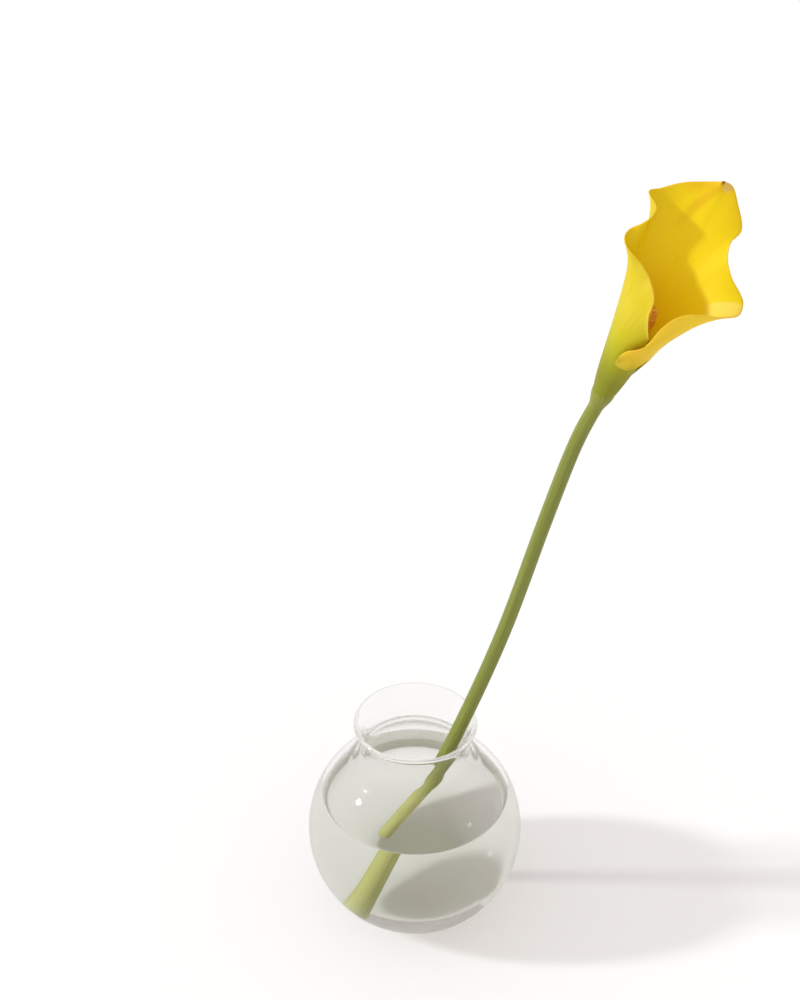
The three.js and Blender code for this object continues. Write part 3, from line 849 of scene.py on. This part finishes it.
def tube_point(base, height, curl, bow):
    """Point on the middle of the sheet in the tube, which swells out to the left."""
    angle = math.radians(base)
    point = around_flower(angle, foot_radius(base) + TUBE_FLARE * height + curl, height)
    point.x -= bow * (1 - math.sin(angle)) / 2
    return point


def lobe_curl(base):
    """How far the outer lap's free lower edge curls out."""
    return LOBE_FLARE * math.exp(-((base - LOBE_ANGLE) / LOBE_SPREAD) ** 2)


def vein(position):
    """The four points that steer a vein, from the tube's base to the margin, and its waves."""
    base, _, _, _, _, _, low = station_values(position)
    levels = [calm_values(position, reach) for reach in (0, *[reach for reach, _ in WAVES])]
    margins = [around_flower(math.radians(rim), radius, height)
               for _, rim, radius, height, _, _, _ in levels]
    calm_base, calm_rim, _, calm_height, bend_radius, bend_height, _ = levels[-1]
    start = max(low, 0)
    rise = start + min(TUBE_SHARE * (calm_height - start), TUBE_MAX)
    steer = (tube_point(base, start, lobe_curl(base), EDGE_BOW * min(1, start / EDGE_BOW_HEIGHT)),
             tube_point(base, rise, 0, TUBE_BOW),
             around_flower(math.radians(calm_base + calm_rim) / 2, bend_radius, bend_height),
             margins[-1])
    return steer, [near - calm for near, calm in zip(margins, margins[1:])]


def vein_point(steer, waves, t):
    """Point at a share t of the way up a vein."""
    point = bezier_point(*steer, t)
    for wave, (_, fade) in zip(waves, WAVES):
        point += wave * t ** fade
    return point


def cusp(position, t):
    """The small curled point at the tip, as an offset of the margin there."""
    rise = max(0, (t - CUSP_START) / (1 - CUSP_START)) ** 2
    share = math.exp(-((position - TIP_STATION) / CUSP_WIDTH) ** 2) * rise
    return Vector((0, -CUSP_CURL * share, CUSP_LENGTH * share))


def shape_sheet(piece):
    """Rolls the flat grid into the spathe, then gives it soft swells and fine ridges."""
    stations = len(MARGIN) - 1
    columns = stations * VEINS_PER_STATION
    steers = [vein(column / VEINS_PER_STATION) for column in range(columns + 1)]
    places = [(round((vertex.co.x + 0.5) * columns), vertex.co.y + 0.5)
              for vertex in piece.data.vertices]
    for vertex, (column, t) in zip(piece.data.vertices, places):
        position = column / VEINS_PER_STATION
        vertex.co = in_flower(vein_point(*steers[column], t) + cusp(position, t))
    piece.data.update()
    rng = random.Random(7)
    ridges = [rng.uniform(-1, 1) for _ in steers]
    normals = [vertex.normal.copy() for vertex in piece.data.vertices]
    for vertex, normal, (column, t) in zip(piece.data.vertices, normals, places):
        free = min(1, max(0, (t - 0.3) / 0.5))
        swell = SWELL_HEIGHT * free * noise.noise(vertex.co / MM / SWELL_LENGTH)
        ridge = RIDGE_HEIGHT * ridges[column] * min(1, t * 4)
        vertex.co += normal * (swell + ridge) * MM
    group = piece.vertex_groups.new(name="thickness")
    for index, (column, t) in enumerate(places):
        low = max(0, station_values(column / VEINS_PER_STATION)[-1])
        group.add([index], (1 - t) * (1 - min(1, low / THIN_EDGE_HEIGHT)), "REPLACE")


def thicken_sheet(piece):
    """Gives the sheet two faces and a rounded edge, thinner towards the margin."""
    apply_modifier(piece, "SOLIDIFY", thickness=SHEET_THICKNESS * MM, offset=0.0,
                   vertex_group="thickness",
                   thickness_vertex_group=EDGE_THICKNESS / SHEET_THICKNESS,
                   material_offset=1, material_offset_rim=EDGE_MATERIAL)
    bpy.ops.object.vertex_group_remove(all=True)
    bpy.ops.object.mode_set(mode="EDIT")
    mesh = bmesh.from_edit_mesh(piece.data)
    for face in mesh.faces:
        face.select_set(face.material_index == EDGE_MATERIAL)
    bmesh.update_edit_mesh(piece.data)
    bpy.ops.mesh.inset(thickness=EDGE_ROUNDING * MM, depth=EDGE_ROUNDING * MM)
    bpy.ops.object.mode_set(mode="OBJECT")


def make_spathe():
    deselect()
    bpy.ops.mesh.primitive_grid_add(x_subdivisions=(len(MARGIN) - 1) * VEINS_PER_STATION,
                                    y_subdivisions=SHEET_ROWS, size=1)
    piece = named("rolled_spathe")
    shape_sheet(piece)
    # outer lap painted lighter and tip side darker, as painted light and shade
    outside = sheet_finish("spathe_outside", outer_lap_colour=rgb(0.88, 0.62, 0.03),
                           tip_side_colour=rgb(0.6, 0.46, 0.01), streak=rgb(0.78, 0.6, 0.08), painted_glow=0)
    inside = sheet_finish("spathe_inside", outer_lap_colour=rgb(0.76, 0.565, 0.003),
                          tip_side_colour=rgb(0.76, 0.555, 0.003), streak=rgb(0.82, 0.61, 0.008), painted_glow=0.13)
    # the edge faces are paler: a painted highlight along the margin
    margin = sheet_finish("spathe_margin_highlight", outer_lap_colour=rgb(0.88, 0.64, 0.07),
                          tip_side_colour=rgb(0.8, 0.62, 0.06), streak=rgb(0.86, 0.7, 0.14), painted_glow=0)
    for material in (outside, inside, margin):
        piece.data.materials.append(material)
    thicken_sheet(piece)
    smooth(piece, 50)
    return piece


# ---- spadix ----------------------------------------------------------------------------------

def spadix_radius(height):
    """Radius of the spike at a height, under its florets."""
    swell = min(height / SPADIX_SWELL, 1)
    body = SPADIX_FOOT_RADIUS + (SPADIX_RADIUS - SPADIX_FOOT_RADIUS) * swell * (2 - swell)
    past = max(0, height - (SPADIX_LENGTH - SPADIX_TIP)) / SPADIX_TIP
    return body * math.sqrt(max(0, 1 - past ** 2.4))


def make_spike():
    """The spadix's core."""
    rings = []
    for i in range(SPADIX_RINGS):
        height = SPADIX_LENGTH * math.sin(math.pi / 2 * i / SPADIX_RINGS) ** 0.92
        centre = in_flower(Vector((0, 0, height)))
        rings.append((centre, flower_up, (spadix_radius(height) - CORE_DEPTH) * MM))
    return grown("floret_spike", rings, SPADIX_SIDES)


def make_floret(name, height_share, dimple):
    """One floret: a domed bead, cut off below and pressed in on top."""
    deselect()
    bpy.ops.mesh.primitive_ico_sphere_add(subdivisions=2, radius=FLORET_RADIUS * MM)
    floret = named(name)
    bpy.ops.object.mode_set(mode="EDIT")
    bpy.ops.mesh.select_all(action="SELECT")
    bpy.ops.mesh.bisect(plane_co=(0, 0, -FLORET_CUT * FLORET_RADIUS * MM), plane_no=(0, 0, 1),
                        clear_inner=True, use_fill=True)
    bpy.ops.mesh.select_all(action="SELECT")
    bpy.ops.transform.resize(value=(1, 1, height_share), center_override=(0, 0, 0))
    mesh = bmesh.from_edit_mesh(floret.data)
    top = max(face.calc_center_median().z for face in mesh.faces)
    for face in mesh.faces:
        face.select_set(face.calc_center_median().z > top - FLORET_CAP * FLORET_RADIUS * MM)
    bmesh.update_edit_mesh(floret.data)
    bpy.ops.mesh.inset(thickness=FLORET_RIM * FLORET_RADIUS * MM,
                       depth=-dimple * FLORET_RADIUS * MM)
    bpy.ops.object.mode_set(mode="OBJECT")
    return floret


def floret_places():
    """Height, angle and size of each floret, set round the spike by the golden angle."""
    rng = random.Random(11)
    steps = 600
    heights = [SPADIX_LENGTH * (i + 0.5) / steps for i in range(steps)]
    areas = [max(spadix_radius(h), 0.6) for h in heights]
    total = sum(areas)
    places, passed, index = [], 0, 0
    for height, area in zip(heights, areas):
        passed += area
        while index < FLORET_COUNT * passed / total:
            places.append((height, index * GOLDEN_ANGLE, rng.uniform(*FLORET_SIZES), rng.random()))
            index += 1
    return places


def place_floret(model, height, angle, size, tone):
    """Copies a floret to its seat on the spike, facing out from it."""
    low, high = height - SLOPE_STEP, min(height + SLOPE_STEP, SPADIX_LENGTH)
    slope = max((spadix_radius(high) - spadix_radius(low)) / (2 * SLOPE_STEP), STEEPEST_SEAT)
    outward = (around_flower(angle, 1, 0) - Vector((0, 0, slope))).normalized()
    facing = outward.to_track_quat("Z", "Y").to_matrix().to_4x4()
    seat = around_flower(angle, spadix_radius(height) - FLORET_SINK, height)
    copy = bpy.data.objects.new("floret", model.data.copy())
    bpy.context.collection.objects.link(copy)
    copy.data.transform(Matrix.Translation(seat) @ facing @ Matrix.Scale(size / MM, 4))
    for vertex in copy.data.vertices:
        vertex.co = in_flower(vertex.co)
    mark = copy.data.attributes.new("tone", "FLOAT", "POINT")
    mark.data.foreach_set("value", [tone] * len(copy.data.vertices))
    return copy


def make_spadix():
    spike = make_spike()
    anther = make_floret("anther", 0.8, 0.16)
    ovary = make_floret("ovary", 1.0, -0.2)
    copies = [place_floret(ovary if place[0] < OVARY_HEIGHT else anther, *place)
              for place in floret_places()]
    bpy.data.objects.remove(anther)
    bpy.data.objects.remove(ovary)
    pick(spike)
    for copy in copies:
        copy.select_set(True)
    bpy.ops.object.join()
    spike.name = spike.data.name = "floret_spike"
    spike.data.materials.append(spadix_finish())
    smooth(spike, 60)
    return spike


# ---- object ----------------------------------------------------------------------------------

def build_flower():
    for make, node, slot in ((make_vase, "vase", "vase_glass"),
                             (make_water, "water", "water"),
                             (make_stem, "stem", "stem"),
                             (make_spathe, "spathe", "spathe"),
                             (make_spadix, "spadix", "spadix")):
        piece = make()
        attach(piece, "root")
        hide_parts(node)


# ---- studio ----------------------------------------------------------------------------------

def make_floor():
    deselect()
    bpy.ops.mesh.primitive_plane_add(size=FLOOR_SIZE, location=(0, 0, -FLOOR_DROP))
    floor = named("studio_floor")
    floor.data.materials.append(floor_finish())


def make_lamp():
    """A soft lamp from the left."""
    lamp = bpy.data.lights.new("key_light", "SUN")
    lamp.energy = KEY_STRENGTH
    lamp.angle = KEY_SOFTNESS
    lamp.color = KEY_COLOUR
    key = bpy.data.objects.new("key_light", lamp)
    key.rotation_euler = KEY_DIRECTION.to_track_quat("Z", "Y").to_euler()
    bpy.context.scene.collection.objects.link(key)


def make_room():
    """A pale room that is brighter to the left and front."""
    world = bpy.data.worlds.new("pale_room")
    world.use_nodes = True
    nodes, links = world.node_tree.nodes, world.node_tree.links
    direction = nodes.new("ShaderNodeTexCoord")
    share = nodes.new("ShaderNodeVectorMath")
    share.operation = "DOT_PRODUCT"
    share.inputs[1].default_value = ROOM_BRIGHT_SIDE
    raised = nodes.new("ShaderNodeMath")
    raised.inputs[1].default_value = 0.5
    ramp = nodes.new("ShaderNodeValToRGB")
    for stop, colour in zip(ramp.color_ramp.elements, (ROOM_DIM, ROOM_BRIGHT)):
        stop.color = colour
    links.new(direction.outputs["Generated"], share.inputs[0])
    links.new(share.outputs["Value"], raised.inputs[0])
    links.new(raised.outputs["Value"], ramp.inputs["Fac"])
    links.new(ramp.outputs["Color"], nodes["Background"].inputs["Color"])
    bpy.context.scene.world = world
    bpy.context.scene.view_settings.view_transform = "Standard"


def make_camera():
    data = bpy.data.cameras.new("camera")
    data.lens = CAMERA_LENS
    camera = bpy.data.objects.new("camera", data)
    camera.location = CAMERA_PLACE
    camera.rotation_euler = (CAMERA_TILT, 0, 0)
    bpy.context.scene.collection.objects.link(camera)
    bpy.context.scene.camera = camera


make_camera()
build_flower()
make_floor()
make_lamp()
make_room()
